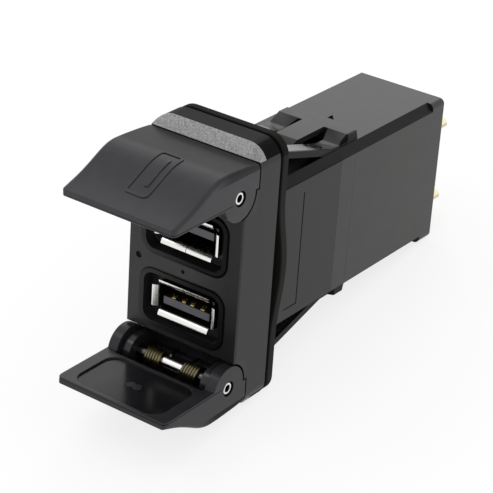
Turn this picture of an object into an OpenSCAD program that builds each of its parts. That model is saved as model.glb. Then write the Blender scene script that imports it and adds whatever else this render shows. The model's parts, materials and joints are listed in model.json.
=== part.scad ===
// Twin charging socket for a vehicle switch panel, with a sprung flip cover over each port.
// X runs left to right seen from the front, Y from the panel into the body, Z up the long way.
// The origin is the centre of the panel opening, on the panel's front face. Sizes are in millimetres.

/* [Bezel] */
// Width of the bezel
bezel_w = 26; // [25:0.1:30]
// Height of the bezel
bezel_h = 55.3; // [54:0.1:60]
// Corner radius of the bezel's outline
bezel_corner = 4.2; // [2:0.1:6]
// How far the front plate stands in front of the panel
plate_front = 13.7; // [12.5:0.1:16]
// Thickness of the front plate
plate_t = 2.5; // [2:0.1:3]
// How far the back of the bezel's rim stays in front of the panel
rim_back = 2.8; // [2.4:0.1:3.2]
// Thickness of the wall behind the bezel's chamber
rim_wall = 1.5; // [1.2:0.1:2.5]
// Front to back depth of the sloping end strip
strip_depth = 1.75; // [1:0.05:2.5]
// How far the back flange is stepped in from the outline
flange_inset = 1.2; // [0.8:0.1:1.6]
// Width of the bezel's front chamber, outside the port surrounds
chamber_w = 22.4; // [22:0.1:23]
// Height of the bezel's front chamber
chamber_h = 29.2; // [28.8:0.1:29.6]

/* [Panel gasket] */
// Thickness of the gasket
gasket_t = 1.8; // [1:0.1:2.2]
// How far its free long sides bow back at mid height
gasket_bow = 2; // [0:0.1:2.5]
// Height of the stretch that bows
gasket_bow_h = 30; // [24:1:32]
// Slack between the gasket and what it fits round
gasket_slack = 0.15; // [0.1:0.05:0.4]

/* [Hinges] */
// Height of each pin's axis over the middle of the socket
hinge_up = 19.9; // [19.5:0.1:20.5]
// How far each pin's axis stands in front of the plate
hinge_proud = 1.1; // [1:0.05:1.4]
// Radius of the hinge pins
pin_r = 1.2; // [0.9:0.05:1.4]
// How far each end of a pin stays inside the cover's side
pin_end_inset = 0.25; // [0.1:0.05:0.5]
// Radius of the hollow in each pin end
pin_hollow_r = 0.75; // [0.3:0.05:0.9]
// Running clearance between a pin and the cover's ears
pin_clear = 0.05; // [0.02:0.01:0.08]
// Radius of the counterbore round a pin's end
counterbore_r = 1.5; // [1.5:0.05:2]
// Radius of the cover's ears
ear_r = 4.6; // [4.2:0.1:4.8]
// Thickness of the cover's ears
ear_t = 2.3; // [2:0.1:2.6]
// Gap between the ears and the recess they turn in
recess_gap = 0.4; // [0.3:0.05:0.6]
// Radius of the bezel's knuckles
knuckle_r = 3.4; // [3:0.1:3.6]
// Thickness of the bezel's knuckles
knuckle_t = 1.8; // [1.4:0.1:2.2]
// Gap between a knuckle and the ear beside it
side_gap = 0.3; // [0.2:0.05:0.5]

/* [Hinge springs] */
// Radius of the spring wire
wire_r = 0.275; // [0.2:0.025:0.3]
// Radius of the coil at the middle of the wire
coil_r = 1.775; // [1.7:0.025:1.9]
// Gap between a coil and the knuckle beside it
coil_gap = 1.95; // [1:0.05:2.2]
// Number of turns in a coil
coil_turns = 6.25; // [5.25:1:6.25]
// Rise of the coil in one turn
coil_pitch = 0.62; // [0.61:0.01:0.66]

/* [Covers] */
// Gap between the tips of the two closed covers
tip_gap = 1; // [0.4:0.1:2]
// Gap between a closed cover and the plate
seat_gap = 0.05; // [0.05:0.01:0.2]
// Gap between an open cover and the stop behind it
stop_gap = 0.3; // [0.2:0.05:0.5]
// Depth of the cover behind the pin's axis
cover_back = 5.55; // [5.3:0.05:5.7]
// Height of the cover's crown over the pin's axis
cover_crown = 5.9; // [5.6:0.1:6.3]
// Thickness of the cover at its tip
tip_t = 1.4; // [1.2:0.1:2]
// Radius that softens the cover's long edges
cover_edge_r = 0.8; // [0.5:0.1:1]
// Radius of the cover's two free corners
cover_corner_r = 1.3; // [0.8:0.1:2]
// Depth of the shallow panel sunk in the cover's inner face
cover_panel_depth = 0.4; // [0.2:0.05:0.5]
// Gap round a port surround, inside that panel, once the cover is shut
cover_panel_gap = 0.35; // [0.25:0.05:0.6]
// Corner radius of that panel
cover_panel_corner = 3; // [1:0.1:3.3]

/* [Ports] */
// Distance between the two port centres
port_spacing = 15.47; // [15.2:0.01:15.6]
// Width of a port surround, outside its rim
surround_w = 19.9; // [19.6:0.1:20.2]
// Height of a port surround, outside its rim
surround_h = 12; // [11.8:0.1:12.4]
// Corner radius of a port surround
surround_corner = 3; // [2:0.1:4]
// Width of a port surround's rim band
surround_band = 0.9; // [0.6:0.1:1.2]
// Depth of the pocket in a port surround
pocket_depth = 2.7; // [2.2:0.1:3]
// Gap between a port surround and the plate
surround_gap = 0.12; // [0.08:0.01:0.25]
// How far a port surround stands out from the plate
surround_proud = 0.2; // [0:0.05:0.25]
// Width of a port's mouth
mouth_w = 12.5; // [12.4:0.05:12.6]
// Height of a port's mouth
mouth_h = 5.12; // [5.05:0.01:5.2]
// Thickness of the shell's sheet metal
sheet_t = 0.3; // [0.25:0.05:0.4]
// Radius of the flared lips of a shell
lip_r = 0.95; // [0.7:0.05:1.1]
// How far the lips stay behind the plate's front
lip_set_back = 0.46; // [0.3:0.02:0.8]
// Length of a port shell
shell_len = 15.2; // [14.5:0.1:16]
// Thickness of a port's contact tongue
tongue_t = 1.6; // [1.4:0.1:1.84]
// Gap between a port's contact tongue and each side of its mouth
tongue_side_gap = 0.7; // [0.5:0.05:0.9]
// How far the tongue stays behind the lips
tongue_set_back = 1.2; // [1.1:0.1:2]

/* [Body] */
// Width of the body
body_w = 20.9; // [20.6:0.1:21.3]
// Height of the body
body_h = 32.34; // [32:0.02:33]
// Size of the long chamfers on the body's right side
body_chamfer = 1.65; // [1:0.05:1.8]
// Radius of the right corners of the body's square end
end_corner = 1.2; // [0.5:0.1:1.6]
// Depth from the panel to the joint between front frame and rear housing
joint_depth = 22.5; // [20:0.5:24]
// Half the length of the label pad on the body's right side
label_half_h = 12; // [8:0.5:13]
// Depth from the panel to the back edge of that pad
label_back = 9.75; // [8:0.05:12]
// Depth from the panel to its front edge
label_front = 5.6; // [5:0.1:7]
// Depth from the panel to the back of the body
body_depth = 60.6; // [58:0.1:64]
// Length of the square end of the body
square_end = 4.4; // [3:0.1:6]
// Wall thickness of the body
wall = 1.6; // [1.3:0.1:1.8]
// Depth of the sunk top and bottom between the side rails
sunk_depth = 1.47; // [1:0.01:1.6]
// Width of the sunk stretch
sunk_w = 17.3; // [17:0.1:17.6]

/* [Snap arms] */
// Depth from the panel to the ridge that the arms spring from
ridge_depth = 27; // [26:0.1:28.5]
// Height of the ridge over the body
ridge_rise = 1.8; // [1.2:0.05:2.1]
// Length of the ridge's flat top
ridge_flat = 3; // [2:0.1:4]
// Length of the slope behind it
ridge_back = 0.5; // [0.2:0.1:3]
// Length of the slope in front of the ridge, down to an arm
ridge_front = 2.8; // [2:0.1:3]
// Width of the ridge
ridge_w = 16.9; // [16:0.1:17.1]
// Distance from the middle to the inner end of that front slope, at the ridge
ridge_inner = 3.55; // [3.3:0.05:4.2]
// Gap left for the panel behind the bezel, up to the tips of the arms
panel_grip = 1.5; // [1:0.1:4]
// Rise of an outer arm for each millimetre of its length
arm_slope = 0.29; // [0.2:0.01:0.32]
// Depth from the panel to the bend at an outer arm's root
arm_bend = 21.5; // [20:0.1:22.5]
// Thickness of the outer arms
arm_t = 1.4; // [1.2:0.1:1.6]
// Distance from the middle to the inner side of an outer arm
arm_inner = 4.5; // [4.2:0.1:5]
// Width of an outer arm
arm_w = 4.1; // [3.5:0.1:4.1]
// Width of the middle tongue
spring_tongue_w = 5.2; // [4:0.1:6]
// Depth from the panel to the bend in the middle tongue
spring_tongue_bend = 17.8; // [12:0.1:22]
// Length of its front slope, past the bend
spring_tongue_nose = 3; // [2:0.1:5]
// Fall of that slope
spring_tongue_drop = 1.2; // [0.5:0.1:1.6]
// Thickness of the middle tongue
spring_tongue_t = 1.2; // [1:0.1:1.4]

/* [Terminals and boards] */
// Width of the terminal blades
blade_w = 6.3; // [4.8:0.1:6.3]
// Thickness of the terminal blades
blade_t = 0.8; // [0.5:0.1:0.8]
// How far the blades stand out behind the body
blade_out = 9.4; // [7:0.1:12]
// How far the blades reach into the body
blade_in = 9; // [5:0.5:9.5]
// Height of the upper blade over the middle
upper_blade_z = 7; // [6:0.1:9]
// Drop of the lower blade under the middle
lower_blade_z = 10; // [8:0.1:11]
// Thickness of the circuit boards
board_t = 1.6; // [1:0.1:1.6]
// Diameter of the inductor
inductor_d = 11; // [8:0.1:12]
// Height of the inductor over its board
inductor_h = 7; // [5:0.1:7.5]
// Diameter of the capacitors
capacitor_d = 6.3; // [5:0.1:8]
// Height of the capacitors over their board
capacitor_h = 7.2; // [5:0.1:7.7]
// Gap between neighbours on the main board
board_part_gap = 0.6; // [0.3:0.1:1]
// Size of the regulator chip along the board, across it and over it
regulator_size = [6, 6.6, 2];
// Size of the controller chip, given the same way
controller_size = [3.9, 4.9, 1.5];
// Size of the diode, given the same way
diode_size = [6, 5.6, 2.2];

/* [Hidden] */
$fn = 72;

eps = 0.01;
black = "#1b1b1d";
rubber = "#2a2826";
grey_plastic = "#303236";
chrome = "#c9ccd0";
brass = "#c8a24a";

half_w = bezel_w / 2;
half_h = bezel_h / 2;
hinge_y = -(plate_front + hinge_proud);
hinge_z = hinge_up;
recess_r = ear_r + recess_gap;
stop_y = hinge_y + cover_back + stop_gap;
stop_top = hinge_z + 5.2;
strip_y = stop_y + strip_depth;
ear_in = half_w - ear_t;
knuckle_out = ear_in - side_gap;
knuckle_in = knuckle_out - knuckle_t;
coil_start = knuckle_in - coil_gap - wire_r - coil_turns * coil_pitch;
press_clear = 0.02;
lip_y = -(plate_front - lip_set_back);
port_z = port_spacing / 2;
shell_w = mouth_w + 2 * sheet_t;
shell_h = mouth_h + 2 * sheet_t;
shell_end = lip_y + shell_len;
tongue_w = mouth_w - 2 * tongue_side_gap;
body_in_w = body_w - 2 * wall;
neck_in_h = body_h - 2 * sunk_depth - 2 * wall + 0.2;
rear_in_h = body_h - 2 * wall;
body_top = body_h / 2;
ridge_foot = ridge_depth - ridge_front;
end_wall_y = body_depth - wall;
gasket_front = -gasket_t;
blade_gap = 0.05;
lap_t = 0.9;
lap_len = 2.5;
port_board_y = shell_end + 0.1;
main_board_y = port_board_y + board_t + 0.1;
output_capacitor_y = joint_depth + lap_len + board_part_gap + capacitor_d / 2;
inductor_y = output_capacitor_y + capacitor_d / 2 + board_part_gap + inductor_d / 2;
input_capacitor_y = inductor_y + inductor_d / 2 + board_part_gap + capacitor_d / 2;

regulator_y = output_capacitor_y + capacitor_d;
controller_y = main_board_y + 2 * capacitor_d;
regulator_z = 3;
controller_z = -4;
diode_z = 4;

// Cover outline round the pin's axis: u runs from the pin towards the tip, w outwards.
cover_tip_u = hinge_z - tip_gap / 2;
seat_w = -(hinge_proud - seat_gap);
tip_w = seat_w + tip_t;
cover_rear_w = cover_crown - 0.65;
cover_foot_w = 0.3;
trough_r = knuckle_r + 0.6;
trough_front = recess_r + 0.2;
crown_u = 5;

// A flat outline in Y and Z, run along X between two planes.
module along_x(x0, x1) {
    translate([x0, 0, 0])
        rotate([90, 0, 90])
            linear_extrude(x1 - x0) children();
}

// A flat outline in X and Z, run along Y between two planes.
module along_y(y0, y1) {
    translate([0, y1, 0])
        rotate([90, 0, 0])
            linear_extrude(y1 - y0) children();
}

// A rod along X round a point of the Y and Z plane.
module rod_x(x0, x1, r, y = 0, z = 0) {
    translate([x0, y, z])
        rotate([0, 90, 0])
            cylinder(h = x1 - x0, r = r);
}

module rounded(w, h, r) {
    square([w - 2 * r, h], center = true);
    square([w, h - 2 * r], center = true);
    for (sx = [-1, 1], sz = [-1, 1])
        translate([sx * (w / 2 - r), sz * (h / 2 - r)]) circle(r);
}

// The body's outline, square on the left and chamfered on the right.
module chamfered(w, h, c) {
    a = w / 2;
    b = h / 2;
    polygon([[-a, -b], [a - c, -b], [a, c - b], [a, b - c], [a - c, b], [-a, b]]);
}

// The same outline with its right corners rounded.
module round_sided(w, h, r) {
    translate([-w / 2, -h / 2]) square([w - r, h]);
    translate([0, r - h / 2]) square([w / 2, h - 2 * r]);
    for (sz = [-1, 1])
        translate([w / 2 - r, sz * (h / 2 - r)]) circle(r);
}

// A block given by its lowest and highest corners.
module block(low, high) {
    translate(low) cube(high - low);
}

// A skin through rings of points, each an upper edge and then a lower one run back.
module loft(rings) {
    n = len(rings[0]);
    last = (len(rings) - 1) * n;
    points = [for (ring = rings, p = ring) p];
    sides = [
        for (i = [0:n:last - n], j = [0:n - 1])
            let (a = i + j, b = i + (j + 1) % n)
                each [[a, b, b + n], [a, b + n, a + n]]
    ];
    end = [
        for (j = [0:n / 2 - 2])
            each [[j, j + 1, n - 2 - j], [j, n - 2 - j, n - 1 - j]]
    ];
    start = [for (f = end) [f[2], f[1], f[0]]];
    far_end = [for (f = end) [last + f[0], last + f[1], last + f[2]]];
    polyhedron(points = points, faces = concat(start, sides, far_end), convexity = 8);
}

function bezier(p, t) =
    pow(1 - t, 3) * p[0] + 3 * t * pow(1 - t, 2) * p[1]
    + 3 * t * t * (1 - t) * p[2] + pow(t, 3) * p[3];

module mirrored_down(on) {
    mirror([0, 0, on ? 1 : 0]) children();
}

// Front frame: bezel, port plate, hinge knuckles and the neck that enters the panel.
module bezel_side() {
    upper = [
        [-rim_back, half_h], [strip_y, half_h], [stop_y, stop_top],
        [stop_y, hinge_z], [-plate_front, hinge_z]
    ];
    lower = [for (i = [len(upper) - 1:-1:0]) [upper[i][0], -upper[i][1]]];
    polygon(concat(upper, lower));
}

module knuckles() {
    for (sx = [-1, 1])
        translate([sx * (knuckle_in + knuckle_t / 2), 0, 0]) {
            rod_x(-knuckle_t / 2, knuckle_t / 2, knuckle_r, hinge_y, hinge_z);
            block(
                [-knuckle_t / 2, hinge_y, hinge_z - knuckle_r],
                [knuckle_t / 2, hinge_y + recess_r + 0.25, hinge_z - 0.2]
            );
        }
}

module neck_outside() {
    along_y(gasket_front - eps, joint_depth) chamfered(body_w, body_h, body_chamfer);
}

module sunk_stretch(y0, y1) {
    block([-sunk_w / 2, y0, body_h / 2 - sunk_depth], [sunk_w / 2, y1, body_h / 2 + 1]);
}

module label_groove() {
    groove = 0.3;
    deep = 0.18;
    x0 = body_w / 2 - deep;
    block([x0, label_back, -label_half_h], [x0 + 1, label_back + groove, label_half_h]);
    block([x0, label_front, -label_half_h - groove], [x0 + 1, label_back + groove, -label_half_h]);
}

module plate_dimple(x, r) {
    deep = 0.6;
    translate([x, deep - plate_front, 0])
        rotate([90, 0, 0]) cylinder(h = 2 * deep, r = r);
}

module bezel_frame() {
    lap_root = 3;
    color(black)
    difference() {
        union() {
            difference() {
                intersection() {
                    along_x(-half_w, half_w) bezel_side();
                    along_y(-plate_front - 1, 0) rounded(bezel_w, bezel_h, bezel_corner);
                }
                for (sz = [-1, 1])
                    rod_x(-half_w - 1, half_w + 1, recess_r, hinge_y, sz * hinge_z);
            }
            along_y(-rim_back - eps, gasket_front)
                rounded(bezel_w - 2 * flange_inset, bezel_h - 2 * flange_inset,
                    bezel_corner - flange_inset);
            neck_outside();
            for (down = [false, true])
                mirrored_down(down) knuckles();
            along_y(joint_depth - 1, joint_depth + lap_len)
                square([body_in_w - 0.2, neck_in_h - 0.2], center = true);
        }
        block([-chamber_w / 2, -plate_front + plate_t, -chamber_h / 2],
            [chamber_w / 2, -rim_back - rim_wall, chamber_h / 2]);
        along_y(-rim_back - rim_wall - eps, joint_depth - lap_root)
            square([body_in_w, neck_in_h], center = true);
        along_y(joint_depth - lap_root - eps, joint_depth + lap_len + 1)
            square([body_in_w - 2 * lap_t, neck_in_h - 2 * lap_t], center = true);
        for (sz = [-1, 1])
            translate([0, 0, sz * port_z])
                along_y(-plate_front - 1, -plate_front + plate_t + eps)
                    rounded(surround_w + 2 * surround_gap, surround_h + 2 * surround_gap,
                        surround_corner + surround_gap);
        for (sz = [-1, 1])
            rod_x(-half_w, half_w, pin_r + press_clear, hinge_y, sz * hinge_z);
        for (down = [false, true])
            mirrored_down(down) sunk_stretch(gasket_front + gasket_t + 0.2, joint_depth + 1);
        label_groove();
        plate_dimple(-half_w + 2.3, 0.7);
        plate_dimple(0, 0.4);
    }
}

// Gasket: a soft frame round the neck, with slack long sides that bow away from the bezel.
module panel_gasket() {
    steps = 16;
    reach = gasket_bow_h / 2;
    function bow(z) = abs(z) < reach ? gasket_bow * pow(cos(90 * z / reach), 2) : 0;
    function rows(y) = concat(
        [[y, -half_h]],
        [for (i = [0:steps]) let (z = reach * (2 * i / steps - 1)) [y + bow(z), z]],
        [[y, half_h]]
    );
    front = rows(gasket_front);
    back = rows(0);
    color(rubber)
    difference() {
        intersection() {
            along_x(-half_w, half_w)
                polygon(concat(front, [for (i = [len(back) - 1:-1:0]) back[i]]));
            along_y(-gasket_t - 1, gasket_bow + 1)
                rounded(bezel_w - 0.2, bezel_h - 0.2, bezel_corner - 0.1);
        }
        along_y(-gasket_t - 2, gasket_bow + 2)
            chamfered(body_w + 2 * gasket_slack, body_h + 2 * gasket_slack, body_chamfer);
    }
}

// Rear housing: a deep cup with the snap arms that hold the socket in its panel.
arm_root_z = body_top + 0.45;
arm_under_z = body_top - sunk_depth - 0.6;

module outer_arm() {
    tip = panel_grip;
    tip_z = arm_root_z + arm_slope * (arm_bend - tip);
    polygon([
        [tip, tip_z - arm_t + 0.5], [tip + 0.5, tip_z - arm_t - 0.15],
        [arm_bend, arm_root_z - arm_t], [joint_depth + 0.15, arm_root_z - arm_t],
        [joint_depth + 0.5, arm_under_z], [ridge_foot + eps, arm_under_z],
        [ridge_foot + eps, arm_root_z], [arm_bend, arm_root_z],
        [tip + 0.5, tip_z - 0.15], [tip, tip_z - 0.6]
    ]);
}

// The ridge: a flat top, and in front of it a slope down to each arm, drawn in beside the tongue.
module ridge_block() {
    base_z = body_top - 1;
    flat_end = ridge_depth + ridge_flat;
    polygon([
        [ridge_depth, base_z], [ridge_depth, body_top + ridge_rise], [flat_end, body_top + ridge_rise],
        [flat_end + ridge_back, body_top], [flat_end + ridge_back, base_z]
    ]);
}

module ridge_front_slope() {
    outer = ridge_w / 2;
    intersection() {
        along_x(0, outer)
            polygon([
                [ridge_foot, arm_under_z], [ridge_foot, arm_root_z],
                [ridge_depth, body_top + ridge_rise], [ridge_depth + eps, arm_under_z]
            ]);
        linear_extrude(body_h)
            polygon([
                [arm_inner, ridge_foot], [outer, ridge_foot],
                [outer, ridge_depth + 1], [ridge_inner, ridge_depth + 1], [ridge_inner, ridge_depth]
            ]);
    }
}

module spring_tongue() {
    tip = spring_tongue_bend - spring_tongue_nose;
    top = body_top + ridge_rise;
    end_top = top - spring_tongue_drop;
    polygon([
        [tip, end_top - spring_tongue_t], [spring_tongue_bend, top - spring_tongue_t],
        [ridge_depth + eps, top - spring_tongue_t], [ridge_depth + eps, top],
        [spring_tongue_bend, top], [tip, end_top]
    ]);
}

module rear_top_arms() {
    for (side = [0, 1])
        mirror([side, 0, 0]) {
            along_x(arm_inner, arm_inner + arm_w) outer_arm();
            ridge_front_slope();
        }
    along_x(-ridge_w / 2, ridge_w / 2) ridge_block();
    along_x(-spring_tongue_w / 2, spring_tongue_w / 2) spring_tongue();
}

// A small triangular pocket that marks the top.
module top_mark() {
    across = 1.65;
    along = 1.95;
    translate([-across - 0.15, ridge_depth + 7.8, body_top - 0.6])
        linear_extrude(1) polygon([[0, 0], [across, 0], [0, along]]);
}

module rear_housing() {
    square_y = body_depth - square_end;
    blade_x = board_t / 2 + blade_gap + blade_w / 2;
    slot_gap = 0.2;
    board_guide_gap = 0.1;
    board_guide_t = 1.2;
    board_guide_h = 12;
    color(black)
    difference() {
        union() {
            difference() {
                union() {
                    along_y(joint_depth, square_y + eps) chamfered(body_w, body_h, body_chamfer);
                    along_y(square_y, body_depth) round_sided(body_w, body_h, end_corner);
                }
                for (down = [false, true])
                    mirrored_down(down) sunk_stretch(joint_depth - 1, ridge_depth);
                along_y(joint_depth - 1, ridge_depth + wall)
                    square([body_in_w, neck_in_h], center = true);
                along_y(ridge_depth + wall - eps, end_wall_y)
                    square([body_in_w, rear_in_h], center = true);
            }
            for (down = [false, true])
                mirrored_down(down) rear_top_arms();
            for (sx = [-1, 1])
                translate([sx * (board_t / 2 + board_guide_gap + board_guide_t / 2), 0, 0])
                    block([-board_guide_t / 2, end_wall_y - 3, -board_guide_h / 2],
                        [board_guide_t / 2, end_wall_y + eps, board_guide_h / 2]);
        }
        for (z = [upper_blade_z, -lower_blade_z])
            translate([blade_x, body_depth, z])
                cube([blade_w + slot_gap, 4 * wall, blade_t + slot_gap], center = true);
        top_mark();
    }
}

// Covers: each is a curved lid that turns on its pin, with a trough for knuckles and springs.
function cover_outer() =
    let (crown = [
        [-cover_back, cover_rear_w - 0.5],
        [-cover_back + 0.15, cover_rear_w - 0.12], [-cover_back + 0.5, cover_rear_w + 0.05],
        [-2.5, cover_rear_w + 0.32], [1, cover_crown - 0.12], [3.2, cover_crown - 0.02]
    ], slope = [
        [crown_u, cover_crown], [crown_u + 4.2, cover_crown - 0.2],
        [crown_u + 5.5, tip_w + 2.65], [cover_tip_u, tip_w]
    ])
    concat(crown, [for (i = [0:14]) bezier(slope, i / 14)]);

// One cross section of the cover, drawn in where the edge and the corners are rounded.
function cover_ring(side, a) =
    let (
        drop = cover_edge_r * (1 - cos(a)),
        short = cover_corner_r * (1 - cos(a)),
        x = side * (half_w - cover_edge_r * (1 - sin(a))),
        outer = cover_outer(),
        last = len(outer) - 1,
        inner = [for (i = [last:-1:0])
            [outer[i][0] - (i == last ? 0.1 : 0), outer[i][0] < 0 ? cover_foot_w : seat_w]],
        upper = [for (p = outer) [p[0], p[1] - drop * min(1, (p[1] - seat_w) / 3)]]
    )
    [for (p = concat(upper, inner))
        let (share = max(0, (p[0] - cover_tip_u + 3) / 3))
            [x, hinge_y - (p[0] - short * share * share), hinge_z + p[1]]];

module cover_blank() {
    angles = [90, 50, 20, 0];
    right = [for (a = angles) cover_ring(1, a)];
    left = [for (i = [len(angles) - 1:-1:0]) cover_ring(-1, angles[i])];
    loft(concat(right, left));
}

module cover() {
    panel_u0 = hinge_z - port_z - surround_h / 2 - cover_panel_gap;
    panel_u1 = hinge_z - port_z + surround_h / 2 + cover_panel_gap;
    difference() {
        union() {
            cover_blank();
            for (x = [-half_w, ear_in])
                rod_x(x, x + ear_t, ear_r, hinge_y, hinge_z);
        }
        rod_x(-ear_in, ear_in, trough_r, hinge_y, hinge_z);
        block([-ear_in, hinge_y - trough_front, hinge_z + seat_w - 1],
            [ear_in, hinge_y, hinge_z + trough_r]);
        rod_x(-half_w - 1, half_w + 1, pin_r + pin_clear, hinge_y, hinge_z);
        for (x = [-half_w - 1, half_w - 0.7])
            rod_x(x, x + 1.7, counterbore_r, hinge_y, hinge_z);
        translate([0, hinge_y - (panel_u0 + panel_u1) / 2, hinge_z + seat_w - 1])
            linear_extrude(1 + cover_panel_depth)
                rounded(surround_w + 2 * cover_panel_gap, panel_u1 - panel_u0, cover_panel_corner);
    }
    for (sx = [-1, 1])
        translate([sx * 0.75, hinge_y - (panel_u0 + panel_u1) / 2, hinge_z + seat_w + 0.08])
            cylinder(h = cover_panel_depth, r = 0.9);
}

module hinge_pin() {
    reach = half_w - pin_end_inset;
    color(chrome)
    difference() {
        rod_x(-reach, reach, pin_r, hinge_y, hinge_z);
        for (x = [-reach - 1, reach - 2])
            rod_x(x, x + 3, pin_hollow_r, hinge_y, hinge_z);
    }
}

// Torsion spring: a close coil round the pin, one leg on the bezel and one on the cover.
function coil_point(x, a) = [x, hinge_y - coil_r * sin(a), hinge_z + coil_r * cos(a)];

function ring_round(p, dir, r, n) =
    let (
        d = dir / norm(dir),
        side0 = cross(d, abs(d[0]) > 0.9 ? [0, 0, 1] : [1, 0, 0]),
        s = side0 / norm(side0),
        t = cross(d, s)
    )
    [for (k = [0:n - 1]) p + r * (cos(360 * k / n) * s + sin(360 * k / n) * t)];

module wire(path, r, n) {
    last = len(path) - 1;
    loft([for (i = [0:last])
        ring_round(path[i], path[min(i + 1, last)] - path[max(i - 1, 0)], r, n)]);
}

module torsion_spring() {
    steps_per_turn = 16;
    steps = coil_turns * steps_per_turn;
    bezel_reach = recess_r - coil_r - wire_r - 0.3;
    cover_reach = trough_r - wire_r - 0.7;
    coil = [for (i = [0:steps])
        coil_point(coil_start + coil_pitch * i / steps_per_turn, 270 + 360 * i / steps_per_turn)];
    first = coil[0];
    final = coil[len(coil) - 1];
    bezel_leg = [
        first + [0, bezel_reach, -0.6], first + [0, 0.7, -0.6], first + [0, 0.2, -0.5]
    ];
    cover_leg = [final + [0, -cover_reach / 2, 0], final + [0, -cover_reach, 0]];
    color(brass) wire(concat(bezel_leg, coil, cover_leg), wire_r, 6);
}

// Port surround: a tray let into the plate from behind, with a rim band round its pocket.
module port_surround() {
    flange = 0.7;
    floor_t = 0.8;
    front = -plate_front - surround_proud;
    floor_y = -plate_front + pocket_depth;
    color(grey_plastic)
    translate([0, 0, port_z])
        difference() {
            union() {
                along_y(front, floor_y + floor_t) rounded(surround_w, surround_h, surround_corner);
                along_y(-plate_front + plate_t + 0.05, floor_y + floor_t)
                    rounded(surround_w + 2 * flange, surround_h + 2 * flange,
                        surround_corner + flange);
            }
            along_y(front - 1, floor_y)
                rounded(surround_w - 2 * surround_band, surround_h - 2 * surround_band,
                    surround_corner - surround_band);
            along_y(front, floor_y + floor_t + 1)
                square([shell_w + 0.2, shell_h + 0.2], center = true);
        }
}

// Port shell: folded sheet with four flared lips, a seam below and sprung leaves.
module lip(reach, across) {
    y = lip_y + sheet_t + lip_r;
    along_x(-across, across)
        translate([y, reach + sheet_t + lip_r])
            intersection() {
                difference() {
                    circle(lip_r + sheet_t);
                    circle(lip_r);
                }
                translate([-lip_r - 1, -lip_r - 1]) square(lip_r + 1);
            }
}

module leaf(x) {
    slot_w = 2;
    y0 = lip_y + 3;
    y1 = lip_y + 9;
    inner = mouth_h / 2;
    translate([x, 0, 0])
        along_x(-slot_w / 2 + 0.2, slot_w / 2 - 0.2)
            polygon([
                [y0 - 0.3, inner], [y1 - 1.3, inner - 0.5], [y1 - 0.3, inner - 0.1],
                [y1 - 0.3, inner + 0.15], [y1 - 1.3, inner - 0.25], [y0 - 0.3, inner + sheet_t]
            ]);
}

module usb_shell() {
    tube_y = lip_y + sheet_t + lip_r;
    leaf_x = 3.4;
    color(chrome)
    translate([0, 0, port_z]) {
        difference() {
            along_y(tube_y, shell_end) square([shell_w, shell_h], center = true);
            along_y(tube_y - 1, shell_end + 1) square([mouth_w, mouth_h], center = true);
            for (sx = [-1, 1], sz = [-1, 1])
                block([sx * leaf_x - 1, lip_y + 3, sz * shell_h / 2 - 0.5],
                    [sx * leaf_x + 1, lip_y + 9, sz * shell_h / 2 + 0.5]);
            block([-0.06, tube_y - 1, -shell_h], [0.06, shell_end + 1, -mouth_h / 2 + 0.1]);
        }
        for (sx = [-1, 1], half = [0, 180])
            rotate([0, half, 0]) leaf(sx * leaf_x);
        lip(mouth_h / 2, mouth_w / 2 - 0.3);
        for (sx = [-1, 1])
            rotate([0, 180, 0])
                translate([sx * (mouth_w / 4 - 0.12), 0, 0])
                    lip(mouth_h / 2, mouth_w / 4 - 0.18);
        for (side = [90, -90])
            rotate([0, side, 0]) lip(mouth_w / 2, mouth_h / 2 - 0.3);
    }
}

// Tongue: the insulator that fills the back of the shell and carries the four contacts.
module usb_tongue() {
    front = lip_y + tongue_set_back;
    base_y = shell_end - 3;
    fit = 0.08;
    color("#18181a")
    translate([0, 0, port_z])
        difference() {
            union() {
                block([-tongue_w / 2, front, 0], [tongue_w / 2, base_y + eps, tongue_t]);
                block([-mouth_w / 2 + fit, base_y, -mouth_h / 2 + fit],
                    [mouth_w / 2 - fit, shell_end, mouth_h / 2 - fit]);
            }
            for (x = contact_x)
                block([x - contact_w / 2, front + 0.3, -1], [x + contact_w / 2, base_y, contact_t]);
        }
}

contact_x = [-3.5, -1, 1, 3.5];
contact_w = 1;
contact_t = 0.3;

module usb_contacts() {
    front = lip_y + tongue_set_back + 0.4;
    base_y = shell_end - 3;
    contact_rise = 0.6;
    fit = 0.03;
    color(brass)
    translate([0, 0, port_z])
        for (x = contact_x)
            along_x(x - contact_w / 2 + fit, x + contact_w / 2 - fit)
                polygon([
                    [front, contact_t - fit], [front, 0], [front + 1, -contact_rise],
                    [front + 1.8, -contact_rise], [front + 5, 0],
                    [base_y - fit, 0], [base_y - fit, contact_t - fit]
                ]);
}

// Boards and the parts soldered to them.
module port_board() {
    color("#1f5a36")
    difference() {
        along_y(port_board_y, port_board_y + board_t)
            square([body_in_w - 0.6, neck_in_h - 0.5], center = true);
        for (sx = [-1, 1], sz = [-1, 1])
            translate([sx * 6.9, port_board_y - 1, sz * (neck_in_h / 2 - 2)])
                rotate([-90, 0, 0]) cylinder(h = 4, r = 0.8);
    }
}

module main_board() {
    color("#1f5a36")
        along_y(main_board_y, end_wall_y - 0.2)
            square([board_t, neck_in_h - 2 * lap_t - 0.5], center = true);
}

// Turns a part that stands on the board, drawn along +Z, so that it stands out sideways.
module on_board(side, y, z) {
    translate([side * board_t / 2, y, z])
        rotate([0, side * 90, 0]) children();
}

module inductor() {
    flange = 1.2;
    core_r = inductor_d / 2 - 1.1;
    color("#3a3a3e")
        on_board(1, inductor_y, 0) {
            cylinder(h = flange, r = inductor_d / 2);
            cylinder(h = inductor_h, r = core_r);
            translate([0, 0, inductor_h - flange]) cylinder(h = flange, r = inductor_d / 2);
        }
}

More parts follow.
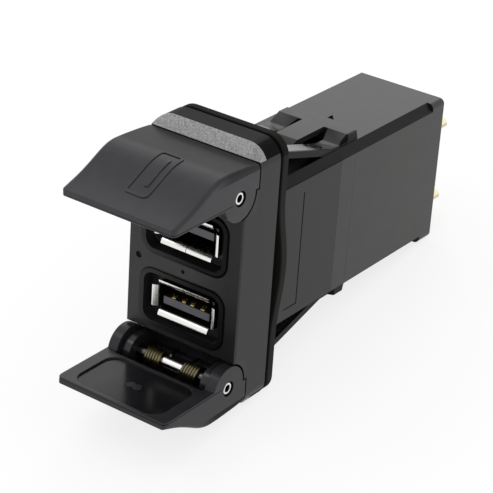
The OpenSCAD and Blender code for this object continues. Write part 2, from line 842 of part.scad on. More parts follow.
module capacitor(y) {
    r = capacitor_d / 2;
    color("#b9bcc2")
        on_board(1, y, 0) {
            translate([-r, -r, 0]) cube([capacitor_d, capacitor_d, 0.8]);
            rotate_extrude()
                polygon([
                    [0, 0.4], [r, 0.4], [r, 1.6], [r - 0.3, 1.8], [r - 0.3, 2.1], [r, 2.3],
                    [r, capacitor_h - 0.3], [r - 0.3, capacitor_h], [0, capacitor_h]
                ]);
        }
}

module chip(y, z, size) {
    lead = 0.5;
    color("#222226")
        on_board(-1, y, z) {
            translate([-size[1] / 2, -size[0] / 2, 0.1]) cube([size[1], size[0], size[2]]);
            for (sy = [-1, 1], k = [-1:1])
                translate([k * size[1] / 4 - lead / 2, sy * (size[0] / 2 + 0.4) - 0.6, 0])
                    cube([lead, 1.2, 0.5]);
        }
}

module blade(z) {
    x0 = board_t / 2 + blade_gap;
    x1 = x0 + blade_w;
    y0 = body_depth - blade_in;
    y1 = body_depth + blade_out;
    point = 1.2;
    color(brass)
    translate([0, 0, z - blade_t / 2])
        difference() {
            linear_extrude(blade_t)
                polygon([
                    [x0, y0], [x1, y0], [x1, y1 - point], [x1 - point, y1],
                    [x0 + point, y1], [x0, y1 - point]
                ]);
            translate([(x0 + x1) / 2, y1 - 3.6, -1]) cylinder(h = 3, r = 0.8);
        }
}

bezel_frame();
panel_gasket();
rear_housing();
color(grey_plastic) cover();  // upper_cover
color(grey_plastic) mirrored_down(true) cover();  // lower_cover
hinge_pin();  // upper_hinge_pin
mirrored_down(true) hinge_pin();  // lower_hinge_pin
mirror([1, 0, 0]) torsion_spring();  // upper_left_spring
torsion_spring();  // upper_right_spring
mirrored_down(true) mirror([1, 0, 0]) torsion_spring();  // lower_left_spring
mirrored_down(true) torsion_spring();  // lower_right_spring
port_surround();  // upper_port_surround
mirrored_down(true) port_surround();  // lower_port_surround
usb_shell();  // upper_usb_shell
mirrored_down(true) usb_shell();  // lower_usb_shell
usb_tongue();  // upper_usb_tongue
mirrored_down(true) usb_tongue();  // lower_usb_tongue
usb_contacts();  // upper_usb_contacts
mirrored_down(true) usb_contacts();  // lower_usb_contacts
port_board();
main_board();
inductor();
capacitor(input_capacitor_y);  // input_capacitor
capacitor(output_capacitor_y);  // output_capacitor
chip(regulator_y, regulator_z, regulator_size);  // regulator_chip
chip(controller_y, controller_z, controller_size);  // controller_chip
chip(input_capacitor_y, diode_z, diode_size);  // diode
blade(upper_blade_z);  // upper_blade
blade(-lower_blade_z);  // lower_blade
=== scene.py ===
"""Looks of a twin charging socket for a vehicle switch panel, its two flip covers open."""

import json
import math

import bpy
from mathutils import Matrix, Vector

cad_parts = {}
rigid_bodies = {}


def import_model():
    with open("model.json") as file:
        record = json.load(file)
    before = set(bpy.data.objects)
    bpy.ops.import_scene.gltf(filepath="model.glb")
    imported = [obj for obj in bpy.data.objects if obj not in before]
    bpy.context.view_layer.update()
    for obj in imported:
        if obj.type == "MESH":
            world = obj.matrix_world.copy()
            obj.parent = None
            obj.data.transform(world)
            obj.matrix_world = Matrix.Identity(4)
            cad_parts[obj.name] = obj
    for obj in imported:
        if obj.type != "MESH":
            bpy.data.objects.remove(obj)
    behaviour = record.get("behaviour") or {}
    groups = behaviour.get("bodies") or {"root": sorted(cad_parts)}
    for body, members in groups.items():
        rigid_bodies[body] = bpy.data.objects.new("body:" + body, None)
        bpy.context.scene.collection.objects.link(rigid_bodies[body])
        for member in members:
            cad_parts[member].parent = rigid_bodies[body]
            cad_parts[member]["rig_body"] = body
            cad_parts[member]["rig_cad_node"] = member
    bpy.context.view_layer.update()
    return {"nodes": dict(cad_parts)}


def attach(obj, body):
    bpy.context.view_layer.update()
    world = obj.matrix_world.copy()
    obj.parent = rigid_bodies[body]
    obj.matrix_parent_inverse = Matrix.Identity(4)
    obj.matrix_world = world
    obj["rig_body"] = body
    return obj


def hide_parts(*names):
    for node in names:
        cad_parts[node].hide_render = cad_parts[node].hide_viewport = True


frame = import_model()

# Front frame.
# One black nylon moulding: the bezel, the port plate, the hinge knuckles and the neck that enters the panel.
# The strip at each end is sand-textured in the tool and coloured a pale grey.
MM = 0.001
FRAME_DARK = (0.012, 0.012, 0.013, 1)
FRAME_PALE = (0.016, 0.016, 0.017, 1)
SAND_DARK = (0.17, 0.17, 0.173, 1)
SAND_PALE = (0.46, 0.46, 0.465, 1)
SHADE = (0.002, 0.002, 0.002, 1)
NYLON_SHEEN = 0.36
STRIP_DEPTH = (-8.95, -7.1)
STRIP_FOOT = 25.0
RIM_DEPTH = (-7.1, -1.0)
PLATE_FACE = -13.0
PLATE_HALF_HEIGHT = 15.5
PLATE_SHADE_RAMP = (2.0, 10.5)
KNUCKLE_BACK = -9.5
SIDE_FACE = 10.3
NECK_HALF_WIDTH = 8.7
NECK_SUNK_HEIGHT = (13.5, 15.5)
NECK_SUNK_FRONT = 0.3
# The long chamfers of neck and housing lie where x and z together pass this.
CHAMFER_REACH = 24.93
PORT_UP = 7.735
SURROUND_FLAT_HALF_WIDTH = 6.95
SURROUND_FLAT_HALF_HEIGHT = 3.0
SURROUND_CORNER = 3.4
SURROUND_SHADE_BACK = -11.0
SURROUND_SHADE_RAMP = (-8.0, 6.0)
WELD_WITHIN = 0.0005
FLAT_WITHIN = math.radians(0.4)
SMOOTH_WITHIN = math.radians(35)


class Value:
    """A socket whose plain arithmetic adds the Math nodes."""

    def __init__(self, finish, socket):
        self.finish = finish
        self.socket = socket

    def math(self, operation, *items):
        node = self.finish.add("ShaderNodeMath", {"operation": operation}, dict(enumerate(items)))
        return Value(self.finish, node.outputs[0])

    def __add__(self, other):
        return self.math("ADD", self, other)

    __radd__ = __add__

    def __sub__(self, other):
        return self.math("SUBTRACT", self, other)

    def __rsub__(self, other):
        return self.math("SUBTRACT", other, self)

    def __mul__(self, other):
        return self.math("MULTIPLY", self, other)

    __rmul__ = __mul__

    def size(self):
        return self.math("ABSOLUTE", self)

    def at_least(self, level):
        return self.math("MAXIMUM", self, level)

    def at_most(self, level):
        return self.math("MINIMUM", self, level)

    def above(self, level):
        return self.math("GREATER_THAN", self, level)

    def below(self, level):
        return self.math("LESS_THAN", self, level)

    def between(self, low, high):
        return self.above(low) * self.below(high)

    def ramp(self, low, high):
        """Rises from 0 to 1 as the value goes from low to high."""
        node = self.finish.add("ShaderNodeMapRange", {}, {"Value": self, "From Min": low, "From Max": high})
        return Value(self.finish, node.outputs[0])


class Finish:
    """A material whose nodes are added one call at a time."""

    def __init__(self, name):
        self.material = bpy.data.materials.new(name)
        self.material.use_nodes = True
        self.tree = self.material.node_tree
        self.shader = self.tree.nodes["Principled BSDF"]
        self.place = self.add("ShaderNodeTexCoord").outputs["Object"]

    def add(self, kind, settings=None, sockets=None):
        node = self.tree.nodes.new(kind)
        for name, setting in (settings or {}).items():
            setattr(node, name, setting)
        for name, item in (sockets or {}).items():
            self.feed(node.inputs[name], item)
        return node

    def feed(self, socket, item):
        if isinstance(item, Value):
            item = item.socket
        if isinstance(item, bpy.types.NodeSocket):
            self.tree.links.new(item, socket)
        else:
            socket.default_value = item

    def set(self, **values):
        """Fills the shader's sockets, with an underscore for each space in their names."""
        for name, item in values.items():
            self.feed(self.shader.inputs[name.replace("_", " ")], item)

    def noise(self, per_mm, detail=2.0, rough=0.5):
        node = self.add("ShaderNodeTexNoise", {}, {
            "Vector": self.place, "Scale": per_mm / MM, "Detail": detail, "Roughness": rough})
        return Value(self, node.outputs["Fac"])

    def cloud(self):
        """The slow unevenness of moulded nylon."""
        return self.noise(0.35, 3.0)

    def grain(self):
        """The fine grain of a spark-eroded tool."""
        return self.noise(7.0, 3.0, 0.6)

    def axes(self):
        """The place on the piece in millimetres."""
        split = self.add("ShaderNodeSeparateXYZ", {}, {"Vector": self.place})
        return [Value(self, split.outputs[name]) * (1 / MM) for name in "XYZ"]

    def blend(self, share, dark, pale):
        node = self.add("ShaderNodeMix", {"data_type": "RGBA"}, {0: share, 6: dark, 7: pale})
        return node.outputs[2]

    def bump(self, height, depth_mm):
        node = self.add("ShaderNodeBump", {}, {"Strength": 1.0, "Distance": depth_mm * MM, "Height": height})
        self.feed(self.shader.inputs["Normal"], node.outputs["Normal"])

    def mix_in(self, other, share):
        """Lays another shader over the first by the given share."""
        mix = self.add("ShaderNodeMixShader", {}, {0: share, 1: self.shader.outputs[0], 2: other.outputs[0]})
        self.feed(self.tree.nodes["Material Output"].inputs["Surface"], mix.outputs[0])

    def paint_shade_and_marks(self, share):
        """Takes the sheen away by the given share: painted shade, and a few dark marks of the piece's own.
        """
        black = self.add("ShaderNodeBsdfPrincipled", {}, {
            "Base Color": SHADE, "Roughness": 0.7, "Specular IOR Level": 0.02})
        self.mix_in(black, share.at_most(0.97))


def select_only(piece):
    bpy.ops.object.select_all(action="DESELECT")
    piece.select_set(True)
    bpy.context.view_layer.objects.active = piece


def finish_edges(piece, edge_mm, segments, sharp_degrees=28):
    """Breaks every sharp edge with a small radius and shades the faces smooth."""
    select_only(piece)
    if edge_mm > 0:
        bevel = piece.modifiers.new("edges", "BEVEL")
        bevel.width = edge_mm * MM
        bevel.segments = segments
        bevel.limit_method = "ANGLE"
        bevel.angle_limit = math.radians(sharp_degrees)
        bevel.use_clamp_overlap = True
        bevel.harden_normals = False
        bevel.miter_outer = "MITER_ARC"
        bpy.ops.object.modifier_apply(modifier=bevel.name)
    bpy.ops.object.shade_smooth_by_angle(angle=SMOOTH_WITHIN)
    weighted = piece.modifiers.new("flat faces", "WEIGHTED_NORMAL")
    weighted.keep_sharp = True
    bpy.ops.object.modifier_apply(modifier=weighted.name)


def finished_copy(node, finish, body, edge_mm, segments=3):
    """The node's own solid, merged to clean faces, with broken edges and its own finish."""
    select_only(frame["nodes"][node])
    bpy.ops.object.duplicate()
    piece = bpy.context.active_object
    piece.name = node + "_moulding"
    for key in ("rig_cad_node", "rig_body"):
        if key in piece:
            del piece[key]
    piece.parent = None
    bpy.ops.object.mode_set(mode="EDIT")
    bpy.ops.mesh.select_all(action="SELECT")
    bpy.ops.mesh.remove_doubles(threshold=WELD_WITHIN * MM)
    bpy.ops.mesh.dissolve_limited(angle_limit=FLAT_WITHIN)
    bpy.ops.object.mode_set(mode="OBJECT")
    finish_edges(piece, edge_mm, segments)
    piece.data.materials.clear()
    piece.data.materials.append(finish.material)
    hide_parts(node)
    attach(piece, body)
    return piece


frame_plastic = Finish("frame_plastic")
x, y, z = frame_plastic.axes()
cloud = frame_plastic.cloud()
grain = frame_plastic.grain()
sand = frame_plastic.noise(3.2, 4.0, 0.75)
strip = y.between(*STRIP_DEPTH) * z.size().above(STRIP_FOOT)
knuckles = y.below(KNUCKLE_BACK) * z.size().above(PLATE_HALF_HEIGHT)
plain = frame_plastic.blend(cloud.ramp(0.35, 0.65), FRAME_DARK, FRAME_PALE)
sandy = frame_plastic.blend(sand.ramp(0.35, 0.65), SAND_DARK, SAND_PALE)
frame_plastic.set(
    Base_Color=frame_plastic.blend(strip, plain, sandy),
    Roughness=0.28 + 0.10 * cloud + 0.08 * grain + 0.35 * strip - 0.14 * knuckles,
    Specular_IOR_Level=NYLON_SHEEN,
)
frame_plastic.bump(0.05 * grain + strip * sand, depth_mm=0.09)
rim = z.size().above(STRIP_FOOT) * y.between(*RIM_DEPTH)
plate = y.below(PLATE_FACE) * z.size().below(PLATE_HALF_HEIGHT)
right_side = x.above(SIDE_FACE) * (1.0 - plate)
sunk = (
    x.size().below(NECK_HALF_WIDTH) * z.size().between(*NECK_SUNK_HEIGHT)
    * y.above(NECK_SUNK_FRONT))
chamfer = (x + z.size()).above(CHAMFER_REACH) * y.above(0)
past_flat_x = (x.size() - SURROUND_FLAT_HALF_WIDTH).at_least(0)
past_flat_z = ((z.size() - PORT_UP).size() - SURROUND_FLAT_HALF_HEIGHT).at_least(0)
by_surround = (
    (past_flat_x * past_flat_x + past_flat_z * past_flat_z).below(SURROUND_CORNER ** 2)
    * y.below(SURROUND_SHADE_BACK))
# Painted shade: dark on the rim behind each strip, a little on the right side, deep in the sunk panel, on
# the neck's chamfer, on the plate growing towards the right, and round each surround, more on the right.
frame_plastic.paint_shade_and_marks(
    0.75 * rim
    + 0.15 * right_side
    + 0.95 * sunk
    + 0.6 * chamfer
    + plate * (0.4 * x.ramp(*PLATE_SHADE_RAMP))
    + by_surround * (0.25 + 0.6 * x.ramp(*SURROUND_SHADE_RAMP)))
finished_copy("bezel_frame", frame_plastic, "housing", edge_mm=0.16)

# Flip covers.
# Each is one moulding with a curved back, two ears and a trough over its knuckles and springs.
# It is glass-filled nylon from a spark-eroded tool, with a fine grain and a low sheen, and turns on its pin.
COVER_DARK = (0.016, 0.016, 0.019, 1)
COVER_PALE = (0.020, 0.020, 0.024, 1)
PIN_FRONT = -14.8
PIN_UP = 19.9
COUNTERBORE = 1.56
EAR_FACE = 12.1
CROWN_FOOT = 24.0
CROWN_SHADE_RAMP = (-23.0, -18.0)
RECESS_FLOOR = 19.25
RECESS_NEAR = 0.12
RECESS_BACK = -17.0
RECESS_SHADE_RAMP = (-6.0, 8.0)


def moulded_plastic(name, dark, pale, rough=None):
    """Grained plastic; where no roughness is given, the piece sets its own."""
    finish = Finish(name)
    cloud = finish.cloud()
    grain = finish.grain()
    finish.set(Base_Color=finish.blend(cloud.ramp(0.35, 0.65), dark, pale), Specular_IOR_Level=NYLON_SHEEN)
    if rough is not None:
        finish.set(Roughness=rough + 0.10 * cloud + 0.10 * grain)
    finish.bump(grain, depth_mm=0.004)
    return finish


def near_pin(y, z, radius):
    """1 within the radius of either hinge pin's axis."""
    across = y - PIN_FRONT
    over = z.size() - PIN_UP
    return (across * across + over * over).below(radius ** 2)


cover_plastic = moulded_plastic("cover_plastic", COVER_DARK, COVER_PALE)
x, y, z = cover_plastic.axes()
crown = z.size().above(CROWN_FOOT) * y.ramp(*CROWN_SHADE_RAMP)
counterbore = x.size().above(EAR_FACE) * near_pin(y, z, COUNTERBORE)
recess = (z.size() - RECESS_FLOOR).size().below(RECESS_NEAR) * y.below(RECESS_BACK)
cover_plastic.set(Roughness=0.26 + 0.12 * cover_plastic.grain() - 0.18 * recess)
# Painted shade: on the crown, in the ear counterbores round the pin, a little over the whole lower cover,
# and in the recess, more towards the right.
cover_plastic.paint_shade_and_marks(
    0.5 * crown
    + 0.9 * counterbore
    + 0.18 * z.below(0)
    + recess * (0.2 + 0.35 * x.ramp(*RECESS_SHADE_RAMP)))
covers = {}
for side in ("upper", "lower"):
    covers[side] = finished_copy(side + "_cover", cover_plastic, side + "_lid", edge_mm=0.14)

# Cover marks.
# A raised outline of a plain port, moulded with each cover on its back.
# It is drawn flat, then laid on the curve and given its thickness.
MARK_MIDDLE = -24.2
MARK_CLEAR = 30.0
OUTLINE_RIGHT = 0.4
OUTLINE_WIDTH = 5.4
OUTLINE_LENGTH = 11.4
OUTLINE_CORNER = 1.1
OUTLINE_LINE = 0.6
BAR_RIGHT = 1.1
BAR_WIDTH = 0.9
BAR_LENGTH = 6.6
MARK_LIFT = 0.06
MARK_THICKNESS = 0.22
for side, outwards in (("upper", 1), ("lower", -1)):
    clear = outwards * MARK_CLEAR * MM
    bpy.ops.object.select_all(action="DESELECT")
    bpy.ops.mesh.primitive_plane_add(size=1, location=(OUTLINE_RIGHT * MM, MARK_MIDDLE * MM, clear))
    mark = bpy.context.active_object
    mark.name = side + "_cover_mark"
    mark.scale = (OUTLINE_WIDTH * MM, OUTLINE_LENGTH * MM, 1)
    bpy.ops.object.transform_apply(location=True, rotation=True, scale=True)
    bpy.ops.object.mode_set(mode="EDIT")
    bpy.ops.mesh.select_all(action="SELECT")
    bpy.ops.mesh.bevel(offset=OUTLINE_CORNER * MM, segments=4, affect="VERTICES")
    bpy.ops.mesh.inset(thickness=OUTLINE_LINE * MM, depth=0)
    bpy.ops.mesh.delete(type="FACE")
    bpy.ops.mesh.select_all(action="DESELECT")
    bpy.ops.mesh.primitive_plane_add(size=1, location=(BAR_RIGHT * MM, MARK_MIDDLE * MM, clear))
    bpy.ops.transform.resize(value=(BAR_WIDTH * MM, BAR_LENGTH * MM, 1))
    bpy.ops.mesh.select_all(action="SELECT")
    bpy.ops.mesh.subdivide(number_cuts=9)
    bpy.ops.object.mode_set(mode="OBJECT")
    wrap = mark.modifiers.new("on the cover", "SHRINKWRAP")
    wrap.target = covers[side]
    wrap.wrap_method = "PROJECT"
    wrap.use_project_z = True
    wrap.use_negative_direction = True
    wrap.use_positive_direction = outwards < 0
    wrap.offset = MARK_LIFT * MM
    bpy.ops.object.modifier_apply(modifier=wrap.name)
    thick = mark.modifiers.new("thickness", "SOLIDIFY")
    thick.thickness = MARK_THICKNESS * MM
    thick.offset = 0
    bpy.ops.object.modifier_apply(modifier=thick.name)
    bpy.ops.object.mode_set(mode="EDIT")
    bpy.ops.mesh.select_all(action="SELECT")
    bpy.ops.mesh.normals_make_consistent(inside=False)
    bpy.ops.object.mode_set(mode="OBJECT")
    finish_edges(mark, edge_mm=0.05, segments=2, sharp_degrees=50)
    mark.data.materials.append(cover_plastic.material)
    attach(mark, side + "_lid")

# Hinge pins.
# Turned steel rods with hollow ends, bright between the springs and pressed into the knuckles.
TURNED_STEEL = (0.80, 0.79, 0.77, 1)
PIN_HOLLOW = 0.78
PIN_SHADED_SPAN = (6.1, 12.2)
pin_steel = Finish("pin_steel")
turned = pin_steel.noise(2.0, 2.0)
pin_steel.set(Base_Color=TURNED_STEEL, Metallic=1.0, Roughness=0.16 + 0.10 * turned)
x, y, z = pin_steel.axes()
# Painted shade blackens the hollow ends and the pin from beside the springs out through the knuckles and
# ears.
pin_steel.paint_shade_and_marks(0.95 * near_pin(y, z, PIN_HOLLOW) + 0.9 * x.size().between(*PIN_SHADED_SPAN))
for side in ("upper", "lower"):
    finished_copy(side + "_hinge_pin", pin_steel, "housing", edge_mm=0.08, segments=2)

# Torsion springs.
# Close-wound wire with a brassy passivated skin, two on each pin, their legs in the chamber under painted
# shade.
WIRE_DARK = (0.22, 0.19, 0.10, 1)
WIRE_PALE = (0.42, 0.37, 0.22, 1)
COIL_OUTSIDE = 2.07
spring_wire = Finish("spring_wire")
stain = spring_wire.noise(1.5, 2.0)
spring_wire.set(
    Base_Color=spring_wire.blend(stain, WIRE_DARK, WIRE_PALE),
    Metallic=1.0, Roughness=0.26 + 0.12 * stain)
x, y, z = spring_wire.axes()
legs = 1.0 - near_pin(y, z, COIL_OUTSIDE)
# Painted shade darkens every coil a little and the legs much more.
spring_wire.paint_shade_and_marks(0.4 + 0.55 * legs)
for node in ("upper_left_spring", "upper_right_spring", "lower_left_spring", "lower_right_spring"):
    finished_copy(node, spring_wire, "housing", edge_mm=0)

# Port surrounds.
# A black nylon tray round each port, let into the plate from behind.
TRAY_DARK = (0.012, 0.012, 0.012, 1)
TRAY_PALE = (0.015, 0.015, 0.015, 1)
TRAY_LIP = -13.6
TRAY_SHADE_RAMP = (-9.0, 4.0)
surround_plastic = moulded_plastic("surround_plastic", TRAY_DARK, TRAY_PALE, rough=0.22)
x, y, z = surround_plastic.axes()
# Painted shade on the tray's front, ahead of its lip, more towards the right.
surround_plastic.paint_shade_and_marks(y.below(TRAY_LIP) * (0.3 + 0.5 * x.ramp(*TRAY_SHADE_RAMP)))
for side in ("upper", "lower"):
    finished_copy(side + "_port_surround", surround_plastic, "housing", edge_mm=0.12)

# Port shells.
# Nickel-plated sheet folded to a box with flared lips and sprung leaves, soldered to the port board.
# Painted shade blackens each shell behind its mouth, lifted on the end of one leaf deep in the upper port as
# a painted highlight.
NICKEL = (0.86, 0.85, 0.82, 1)
MOUTH_SHADE_RAMP = (-12.95, -12.5)
LEAF_END_WIDTH = (2.6, 4.2)
LEAF_END_DEPTH = (-11.9, -10.2)
LEAF_END_HEIGHT = (4.9, 5.5)
port_steel = Finish("port_steel")
rolled = port_steel.noise(1.2, 2.0)
port_steel.set(Base_Color=NICKEL, Metallic=1.0, Roughness=0.20 + 0.12 * rolled)
x, y, z = port_steel.axes()
painted_leaf_highlight = x.between(*LEAF_END_WIDTH) * y.between(*LEAF_END_DEPTH) * z.between(*LEAF_END_HEIGHT)
port_steel.paint_shade_and_marks(0.95 * y.ramp(*MOUTH_SHADE_RAMP) - 0.5 * painted_leaf_highlight)
for side in ("upper", "lower"):
    finished_copy(side + "_usb_shell", port_steel, "housing", edge_mm=0.06, segments=2)

# Tongues and contacts.
# A black insulator in each shell, with four gold-plated contacts pressed into it.
INSULATOR_DARK = (0.085, 0.085, 0.095, 1)
INSULATOR_PALE = (0.10, 0.10, 0.112, 1)
GOLD_DARK = (0.80, 0.56, 0.18, 1)
GOLD_PALE = (0.93, 0.74, 0.34, 1)
TONGUE_NOSE_BACK = -11.95
insulator = moulded_plastic("insulator_plastic", INSULATOR_DARK, INSULATOR_PALE, rough=0.38)
x, y, z = insulator.axes()
# Painted shade blackens the tongue behind its nose, inside the shell.
insulator.paint_shade_and_marks(0.9 * y.above(TONGUE_NOSE_BACK))
contact_gold = Finish("contact_gold")
worn = contact_gold.noise(1.5, 2.0)
contact_gold.set(
    Base_Color=contact_gold.blend(worn, GOLD_DARK, GOLD_PALE),
    Metallic=1.0, Roughness=0.18 + 0.12 * worn)
for side in ("upper", "lower"):
    finished_copy(side + "_usb_tongue", insulator, "housing", edge_mm=0.08, segments=2)
    finished_copy(side + "_usb_contacts", contact_gold, "housing", edge_mm=0.04, segments=2)

# Boards and what is soldered to them.
# A port board across the body and a long main board behind it, with a coil, two cans and three chips.
# They are inside the housing and seen only where it is taken apart.
BOARD_DARK = (0.02, 0.12, 0.05, 1)
BOARD_PALE = (0.03, 0.17, 0.08, 1)
FERRITE_DARK = (0.05, 0.05, 0.052, 1)
FERRITE_PALE = (0.075, 0.075, 0.078, 1)
DRAWN_CAN = (0.72, 0.72, 0.74, 1)
RESIN_DARK = (0.022, 0.022, 0.022, 1)
RESIN_PALE = (0.03, 0.03, 0.03, 1)
laminate = Finish("board_laminate")
weave = laminate.noise(1.5, 2.0)
laminate.set(
    Base_Color=laminate.blend(weave, BOARD_DARK, BOARD_PALE),
    Roughness=0.35 + 0.1 * weave)
for node in ("port_board", "main_board"):
    finished_copy(node, laminate, "housing", edge_mm=0.05, segments=1)
ferrite = moulded_plastic("ferrite", FERRITE_DARK, FERRITE_PALE, rough=0.6)
finished_copy("inductor", ferrite, "housing", edge_mm=0.1, segments=2)
can = Finish("capacitor_can")
drawn = can.noise(1.0, 2.0)
can.set(Base_Color=DRAWN_CAN, Metallic=1.0, Roughness=0.28 + 0.12 * drawn)
for node in ("input_capacitor", "output_capacitor"):
    finished_copy(node, can, "housing", edge_mm=0.08, segments=2)
resin = moulded_plastic("chip_resin", RESIN_DARK, RESIN_PALE, rough=0.55)
for node in ("regulator_chip", "controller_chip", "diode"):
    finished_copy(node, resin, "housing", edge_mm=0.05, segments=1)

# Rear housing.
# A deep cup with snap arms, moulded in a warmer black than the frame and joined to its neck.
# Each polished arm has a small dark ring near its root, and a faint witness line runs down the side.
HOUSING_DARK = (0.016, 0.0155, 0.015, 1)
HOUSING_PALE = (0.020, 0.019, 0.018, 1)
HOUSING_SUNK_HEIGHT = (13.0, 15.2)
HOUSING_SUNK_BACK = 27.05
CHAMFER_BACK = 56.3
CHAMFER_INSIDE = 8.0
SLOPE_INSIDE = 3.0
SLOPE_DEPTH = (24.0, 27.02)
SLOPE_FOOT = 16.4
NOSE_HALF_WIDTH = 2.7
NOSE_BACK = 17.8
LINE_DEPTH = (27.2, 27.45)
LINE_HALF_HEIGHT = 14.0
ARM_INSIDE = 4.4
ARM_FOOT = 16.7
ARM_BACK = 20.5
RING_OUT = 6.0
RING_BACK = 17.2
RING_INNER = 0.55
RING_OUTER = 1.3
housing_plastic = moulded_plastic("housing_plastic", HOUSING_DARK, HOUSING_PALE)
x, y, z = housing_plastic.axes()
sunk = (
    x.size().below(NECK_HALF_WIDTH) * z.size().between(*HOUSING_SUNK_HEIGHT)
    * y.below(HOUSING_SUNK_BACK))
chamfer = (x + z.size()).above(CHAMFER_REACH) * y.below(CHAMFER_BACK) * x.above(CHAMFER_INSIDE)
slopes = x.size().above(SLOPE_INSIDE) * y.between(*SLOPE_DEPTH) * z.size().above(SLOPE_FOOT)
nose = x.size().below(NOSE_HALF_WIDTH) * y.below(NOSE_BACK)
line = x.above(SIDE_FACE) * y.between(*LINE_DEPTH) * z.size().below(LINE_HALF_HEIGHT)
arms = x.size().above(ARM_INSIDE) * y.below(ARM_BACK) * z.size().above(ARM_FOOT)
from_ring_x = x.size() - RING_OUT
from_ring_y = y - RING_BACK
from_ring = from_ring_x * from_ring_x + from_ring_y * from_ring_y
ring = arms * from_ring.between(RING_INNER ** 2, RING_OUTER ** 2)
housing_plastic.set(Roughness=0.26 + 0.12 * housing_plastic.grain() - 0.2 * arms)
# Painted shade in the sunk panel, on the side chamfer, on the front slopes of the ridge and on the nose; the
# witness line and the arm rings are dark marks of the moulding.
housing_plastic.paint_shade_and_marks(
    0.97 * sunk
    + 0.6 * chamfer
    + 0.5 * slopes
    + 0.6 * nose
    + 0.2 * line
    + 0.97 * ring)
finished_copy("rear_housing", housing_plastic, "housing", edge_mm=0.18)

# Terminal blades.
# Two brass tabs, punched from sheet and passed through the housing's back wall.
BRASS_DARK = (0.60, 0.56, 0.36, 1)
BRASS_PALE = (0.70, 0.66, 0.46, 1)
blade_brass = Finish("blade_brass")
tarnish = blade_brass.noise(0.9, 3.0)
blade_brass.set(
    Base_Color=blade_brass.blend(tarnish, BRASS_DARK, BRASS_PALE),
    Metallic=1.0, Roughness=0.24 + 0.18 * tarnish)
for node in ("upper_blade", "lower_blade"):
    finished_copy(node, blade_brass, "housing", edge_mm=0.08, segments=2)

# Panel gasket.
# Soft black rubber cut as a frame, slipped over the neck and lying loose along its long sides.
RUBBER_DARK = (0.010, 0.009, 0.008, 1)
RUBBER_PALE = (0.015, 0.014, 0.012, 1)
GASKET_END = 24.0
rubber = Finish("gasket_rubber")
mottle = rubber.noise(0.8, 3.0)
rubber.set(
    Base_Color=rubber.blend(mottle, RUBBER_DARK, RUBBER_PALE),
    Roughness=0.62 + 0.15 * mottle,
    Specular_IOR_Level=0.3,
)
rubber.bump(rubber.noise(9.0, 2.0), depth_mm=0.006)
x, y, z = rubber.axes()
# Painted shade darkens the whole gasket between bezel and body, more at its ends.
rubber.paint_shade_and_marks(0.35 + 0.3 * z.size().above(GASKET_END))
finished_copy("panel_gasket", rubber, "housing", edge_mm=0.25)

# Floor and light.
# The socket lies on its bezel and its tail, so the white paper runs under both.
# A plain white sky lights it, with a large soft box above and behind and a small one in front.
REST_FRONT = Vector((0, -7.2, -27.65)) * MM
REST_BACK = Vector((0, 60.6, -16.17)) * MM
FLOOR_WIDTH = 6.0
PAPER = (0.98, 0.98, 0.98, 1)
WHITE = (1, 1, 1, 1)
PAPER_GLOW = 0.78
along = (REST_BACK - REST_FRONT).normalized()
across = Vector((1, 0, 0))
upright = across.cross(along)
bpy.ops.object.select_all(action="DESELECT")
bpy.ops.mesh.primitive_plane_add(size=1)
floor = bpy.context.active_object
floor.name = "floor"
floor.matrix_world = (
    Matrix.Translation(REST_FRONT)
    @ Matrix((across, along, upright)).transposed().to_4x4()
    @ Matrix.Scale(FLOOR_WIDTH, 4)
)
paper = Finish("floor_paper")
paper.set(Base_Color=PAPER, Roughness=0.6, Specular_IOR_Level=0.1)
glow = paper.add("ShaderNodeEmission", {}, {"Color": WHITE, "Strength": 1.0})
ray = paper.add("ShaderNodeLightPath")
seen = Value(paper, ray.outputs["Is Camera Ray"])
for kind in ("Is Glossy Ray", "Is Transmission Ray"):
    seen = seen.at_least(Value(paper, ray.outputs[kind]))
paper.mix_in(glow, PAPER_GLOW * seen)
floor.data.materials.append(paper.material)

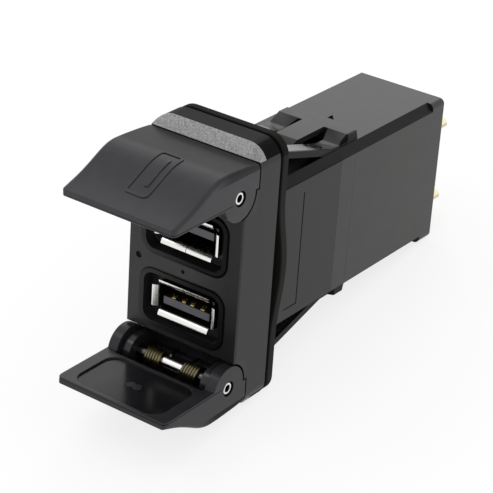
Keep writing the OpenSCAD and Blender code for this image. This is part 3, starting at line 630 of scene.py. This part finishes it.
world = bpy.data.worlds.new("studio")
world.use_nodes = True
bpy.context.scene.world = world
background = world.node_tree.nodes["Background"]
background.inputs["Color"].default_value = WHITE
background.inputs["Strength"].default_value = 1.0


def soft_box(name, place_mm, target_mm, size_mm, power):
    data = bpy.data.lights.new(name, "AREA")
    data.shape = "RECTANGLE"
    data.size = size_mm[0] * MM
    data.size_y = size_mm[1] * MM
    data.energy = power
    light = bpy.data.objects.new(name, data)
    place = Vector(place_mm) * MM
    aim = Vector(target_mm) * MM - place
    light.matrix_world = Matrix.Translation(place) @ aim.to_track_quat("-Z", "Y").to_matrix().to_4x4()
    bpy.context.scene.collection.objects.link(light)


soft_box("top_box", place_mm=(-260, 420, 420), target_mm=(0, 20, 0), size_mm=(500, 500), power=0.5)
soft_box("front_box", place_mm=(-200, -170, 276), target_mm=(0, -15, -20), size_mm=(90, 70), power=0.07)

# Camera.
# It looks down on the socket from the front right, as the photograph does.
CAMERA_PLACE = Vector((197.352, -277.404, 172.221)) * MM
CAMERA_AZIMUTH = math.radians(34.787)
CAMERA_ELEVATION = math.radians(26.755)
CAMERA_ROLL = math.radians(3.886)
FOCAL_PIXELS = 1973.168
PHOTO_PIXELS = 493
forward = Vector((
    -math.sin(CAMERA_AZIMUTH) * math.cos(CAMERA_ELEVATION),
    math.cos(CAMERA_AZIMUTH) * math.cos(CAMERA_ELEVATION),
    -math.sin(CAMERA_ELEVATION),
))
level_right = forward.cross(Vector((0, 0, 1))).normalized()
level_up = level_right.cross(forward)
right = math.cos(CAMERA_ROLL) * level_right + math.sin(CAMERA_ROLL) * level_up
up = right.cross(forward)
camera_data = bpy.data.cameras.new("camera")
camera_data.sensor_width = 36
camera_data.lens = camera_data.sensor_width * FOCAL_PIXELS / PHOTO_PIXELS
camera_data.clip_start = 0.01
camera = bpy.data.objects.new("camera", camera_data)
camera.matrix_world = Matrix.Translation(CAMERA_PLACE) @ Matrix((right, up, -forward)).transposed().to_4x4()
bpy.context.scene.collection.objects.link(camera)
bpy.context.scene.camera = camera
bpy.context.scene.view_settings.view_transform = "Standard"
